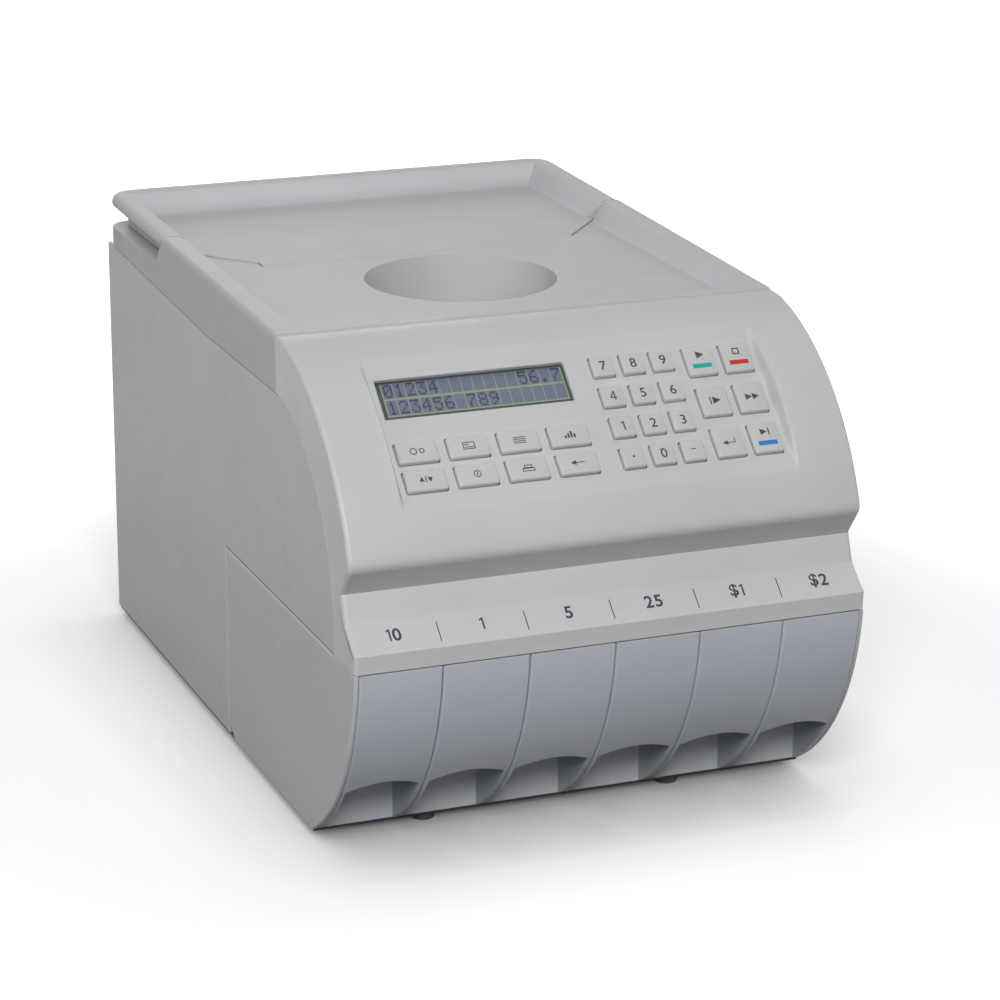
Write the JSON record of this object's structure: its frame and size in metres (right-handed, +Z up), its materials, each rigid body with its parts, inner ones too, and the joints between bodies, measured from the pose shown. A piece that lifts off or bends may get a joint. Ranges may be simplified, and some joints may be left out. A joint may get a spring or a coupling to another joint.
{
  "type": "coin sorting machine",
  "caption": "Tabletop coin sorter: hopper tray over a spinning disc and sorting head, round front with display and keys, pull-out coin drawers below.",
  "frame": {"origin": "centre of the overall footprint, on the surface that the rubber feet stand on", "axes": "+Z up, the drawers and the control panel face -Y, +X to the right as seen from the front"},
  "size_m": [0.275, 0.433, 0.2605],
  "materials": {
    "hood_plastic": "fine satin texture",
    "tray_plastic": "fine satin texture",
    "side_plastic": "fine satin texture",
    "drawer_plastic": "smooth satin",
    "key_plastic": "fine satin texture with printed legend",
    "chute_plastic": "smooth",
    "black_plastic": "smooth",
    "circuit_board": "solder mask",
    "window_pane": "clear with dark border",
    "machined_alloy": "turned",
    "cast_housing": "cast",
    "bright_steel": "ground",
    "zinc_sheet": "zinc plated",
    "black_sheet": "powder coat",
    "motor_paint": "semi-gloss",
    "pad_rubber": "foam with woven skin",
    "belt_rubber": "matte",
    "foot_rubber": "matte"
  },
  "bodies": {
    "chassis": {"front_fascia": "hood_plastic", "hopper_tray": "tray_plastic", "pan_hinge_pins": "bright_steel", "left_side_panel": "side_plastic", "right_side_panel": "side_plastic", "rear_panel": "side_plastic", "base_plate": "black_sheet", "drawer_housing": "side_plastic", "mechanism_plate": "zinc_sheet", "display_module": "circuit_board", "display_window": "window_pane", "keypad_board": "circuit_board", "sorting_head": "machined_alloy", "spindle_bearings": "cast_housing", "drive_belt": "belt_rubber", "drive_motor": "motor_paint", "coin_chutes": "chute_plastic", "control_board": "circuit_board", "power_supply": "zinc_sheet", "rear_connectors": "black_plastic", "rubber_feet": "foot_rubber", "case_screws": "bright_steel"},
    "rear_pan": {"rear_pan": "tray_plastic"},
    "sorting_rotor": {"sorting_disc": "bright_steel", "disc_pad": "pad_rubber", "spindle_pulley": "machined_alloy"},
    "motor_rotor": {"motor_pulley": "bright_steel"},
    "power_switch": {"power_switch": "black_plastic"},
    "coin_drawer_1": {"coin_drawer_1": "drawer_plastic"},
    "coin_drawer_2": {"coin_drawer_2": "drawer_plastic"},
    "coin_drawer_3": {"coin_drawer_3": "drawer_plastic"},
    "coin_drawer_4": {"coin_drawer_4": "drawer_plastic"},
    "coin_drawer_5": {"coin_drawer_5": "drawer_plastic"},
    "coin_drawer_6": {"coin_drawer_6": "drawer_plastic"},
    "function_key_1": {"function_key_1": "key_plastic"},
    "function_key_2": {"function_key_2": "key_plastic"},
    "function_key_3": {"function_key_3": "key_plastic"},
    "function_key_4": {"function_key_4": "key_plastic"},
    "function_key_5": {"function_key_5": "key_plastic"},
    "function_key_6": {"function_key_6": "key_plastic"},
    "function_key_7": {"function_key_7": "key_plastic"},
    "function_key_8": {"function_key_8": "key_plastic"},
    "key_7": {"key_7": "key_plastic"},
    "key_8": {"key_8": "key_plastic"},
    "key_9": {"key_9": "key_plastic"},
    "key_4": {"key_4": "key_plastic"},
    "key_5": {"key_5": "key_plastic"},
    "key_6": {"key_6": "key_plastic"},
    "key_1": {"key_1": "key_plastic"},
    "key_2": {"key_2": "key_plastic"},
    "key_3": {"key_3": "key_plastic"},
    "key_point": {"key_point": "key_plastic"},
    "key_0": {"key_0": "key_plastic"},
    "key_dash": {"key_dash": "key_plastic"},
    "control_key_1": {"control_key_1": "key_plastic"},
    "control_key_2": {"control_key_2": "key_plastic"},
    "control_key_3": {"control_key_3": "key_plastic"},
    "control_key_4": {"control_key_4": "key_plastic"},
    "control_key_5": {"control_key_5": "key_plastic"},
    "control_key_6": {"control_key_6": "key_plastic"}
  },
  "joints": [
    {"name": "rear_pan_hinge", "type": "hinge", "parent": "chassis", "child": "rear_pan", "pos_m": [0, 0.0625, 0.2438], "axis": [1, 0, 0], "range_deg": [0, 60]},
    {"name": "disc_spin", "type": "hinge", "parent": "chassis", "child": "sorting_rotor", "pos_m": [0, 0.0005, 0.1555], "axis": [0, 0, 1], "continuous": true},
    {"name": "motor_spin", "type": "hinge", "parent": "chassis", "child": "motor_rotor", "pos_m": [0, 0.1325, 0.1455], "axis": [0, 0, 1], "continuous": true},
    {"name": "power_switch_tip", "type": "hinge", "parent": "chassis", "child": "power_switch", "pos_m": [-0.058, 0.2117, 0.0455], "axis": [1, 0, 0], "range_deg": [-16, 0]},
    {"name": "coin_drawer_1_slide", "type": "slide", "parent": "chassis", "child": "coin_drawer_1", "axis": [0, -1, 0], "range_m": [0, 0.12]},
    {"name": "coin_drawer_2_slide", "type": "slide", "parent": "chassis", "child": "coin_drawer_2", "axis": [0, -1, 0], "range_m": [0, 0.12]},
    {"name": "coin_drawer_3_slide", "type": "slide", "parent": "chassis", "child": "coin_drawer_3", "axis": [0, -1, 0], "range_m": [0, 0.12]},
    {"name": "coin_drawer_4_slide", "type": "slide", "parent": "chassis", "child": "coin_drawer_4", "axis": [0, -1, 0], "range_m": [0, 0.12]},
    {"name": "coin_drawer_5_slide", "type": "slide", "parent": "chassis", "child": "coin_drawer_5", "axis": [0, -1, 0], "range_m": [0, 0.12]},
    {"name": "coin_drawer_6_slide", "type": "slide", "parent": "chassis", "child": "coin_drawer_6", "axis": [0, -1, 0], "range_m": [0, 0.12]},
    {"name": "function_key_1_press", "type": "slide", "parent": "chassis", "child": "function_key_1", "axis": [0, 0.6691, -0.7431], "range_m": [0, 0.0012], "stiffness_N_per_m": 500, "springref_m": -0.0004},
    {"name": "function_key_2_press", "type": "slide", "parent": "chassis", "child": "function_key_2", "axis": [0, 0.6691, -0.7431], "range_m": [0, 0.0012], "stiffness_N_per_m": 500, "springref_m": -0.0004},
    {"name": "function_key_3_press", "type": "slide", "parent": "chassis", "child": "function_key_3", "axis": [0, 0.6691, -0.7431], "range_m": [0, 0.0012], "stiffness_N_per_m": 500, "springref_m": -0.0004},
    {"name": "function_key_4_press", "type": "slide", "parent": "chassis", "child": "function_key_4", "axis": [0, 0.6691, -0.7431], "range_m": [0, 0.0012], "stiffness_N_per_m": 500, "springref_m": -0.0004},
    {"name": "function_key_5_press", "type": "slide", "parent": "chassis", "child": "function_key_5", "axis": [0, 0.6691, -0.7431], "range_m": [0, 0.0012], "stiffness_N_per_m": 500, "springref_m": -0.0004},
    {"name": "function_key_6_press", "type": "slide", "parent": "chassis", "child": "function_key_6", "axis": [0, 0.6691, -0.7431], "range_m": [0, 0.0012], "stiffness_N_per_m": 500, "springref_m": -0.0004},
    {"name": "function_key_7_press", "type": "slide", "parent": "chassis", "child": "function_key_7", "axis": [0, 0.6691, -0.7431], "range_m": [0, 0.0012], "stiffness_N_per_m": 500, "springref_m": -0.0004},
    {"name": "function_key_8_press", "type": "slide", "parent": "chassis", "child": "function_key_8", "axis": [0, 0.6691, -0.7431], "range_m": [0, 0.0012], "stiffness_N_per_m": 500, "springref_m": -0.0004},
    {"name": "key_7_press", "type": "slide", "parent": "chassis", "child": "key_7", "axis": [0, 0.6691, -0.7431], "range_m": [0, 0.0012], "stiffness_N_per_m": 500, "springref_m": -0.0004},
    {"name": "key_8_press", "type": "slide", "parent": "chassis", "child": "key_8", "axis": [0, 0.6691, -0.7431], "range_m": [0, 0.0012], "stiffness_N_per_m": 500, "springref_m": -0.0004},
    {"name": "key_9_press", "type": "slide", "parent": "chassis", "child": "key_9", "axis": [0, 0.6691, -0.7431], "range_m": [0, 0.0012], "stiffness_N_per_m": 500, "springref_m": -0.0004},
    {"name": "key_4_press", "type": "slide", "parent": "chassis", "child": "key_4", "axis": [0, 0.6691, -0.7431], "range_m": [0, 0.0012], "stiffness_N_per_m": 500, "springref_m": -0.0004},
    {"name": "key_5_press", "type": "slide", "parent": "chassis", "child": "key_5", "axis": [0, 0.6691, -0.7431], "range_m": [0, 0.0012], "stiffness_N_per_m": 500, "springref_m": -0.0004},
    {"name": "key_6_press", "type": "slide", "parent": "chassis", "child": "key_6", "axis": [0, 0.6691, -0.7431], "range_m": [0, 0.0012], "stiffness_N_per_m": 500, "springref_m": -0.0004},
    {"name": "key_1_press", "type": "slide", "parent": "chassis", "child": "key_1", "axis": [0, 0.6691, -0.7431], "range_m": [0, 0.0012], "stiffness_N_per_m": 500, "springref_m": -0.0004},
    {"name": "key_2_press", "type": "slide", "parent": "chassis", "child": "key_2", "axis": [0, 0.6691, -0.7431], "range_m": [0, 0.0012], "stiffness_N_per_m": 500, "springref_m": -0.0004},
    {"name": "key_3_press", "type": "slide", "parent": "chassis", "child": "key_3", "axis": [0, 0.6691, -0.7431], "range_m": [0, 0.0012], "stiffness_N_per_m": 500, "springref_m": -0.0004},
    {"name": "key_point_press", "type": "slide", "parent": "chassis", "child": "key_point", "axis": [0, 0.6691, -0.7431], "range_m": [0, 0.0012], "stiffness_N_per_m": 500, "springref_m": -0.0004},
    {"name": "key_0_press", "type": "slide", "parent": "chassis", "child": "key_0", "axis": [0, 0.6691, -0.7431], "range_m": [0, 0.0012], "stiffness_N_per_m": 500, "springref_m": -0.0004},
    {"name": "key_dash_press", "type": "slide", "parent": "chassis", "child": "key_dash", "axis": [0, 0.6691, -0.7431], "range_m": [0, 0.0012], "stiffness_N_per_m": 500, "springref_m": -0.0004},
    {"name": "control_key_1_press", "type": "slide", "parent": "chassis", "child": "control_key_1", "axis": [0, 0.6691, -0.7431], "range_m": [0, 0.0012], "stiffness_N_per_m": 500, "springref_m": -0.0004},
    {"name": "control_key_2_press", "type": "slide", "parent": "chassis", "child": "control_key_2", "axis": [0, 0.6691, -0.7431], "range_m": [0, 0.0012], "stiffness_N_per_m": 500, "springref_m": -0.0004},
    {"name": "control_key_3_press", "type": "slide", "parent": "chassis", "child": "control_key_3", "axis": [0, 0.6691, -0.7431], "range_m": [0, 0.0012], "stiffness_N_per_m": 500, "springref_m": -0.0004},
    {"name": "control_key_4_press", "type": "slide", "parent": "chassis", "child": "control_key_4", "axis": [0, 0.6691, -0.7431], "range_m": [0, 0.0012], "stiffness_N_per_m": 500, "springref_m": -0.0004},
    {"name": "control_key_5_press", "type": "slide", "parent": "chassis", "child": "control_key_5", "axis": [0, 0.6691, -0.7431], "range_m": [0, 0.0012], "stiffness_N_per_m": 500, "springref_m": -0.0004},
    {"name": "control_key_6_press", "type": "slide", "parent": "chassis", "child": "control_key_6", "axis": [0, 0.6691, -0.7431], "range_m": [0, 0.0012], "stiffness_N_per_m": 500, "springref_m": -0.0004}
  ],
  "couplings": [
    {"joint": "motor_spin", "follows": "disc_spin", "ratio": 2.7778}
  ]
}
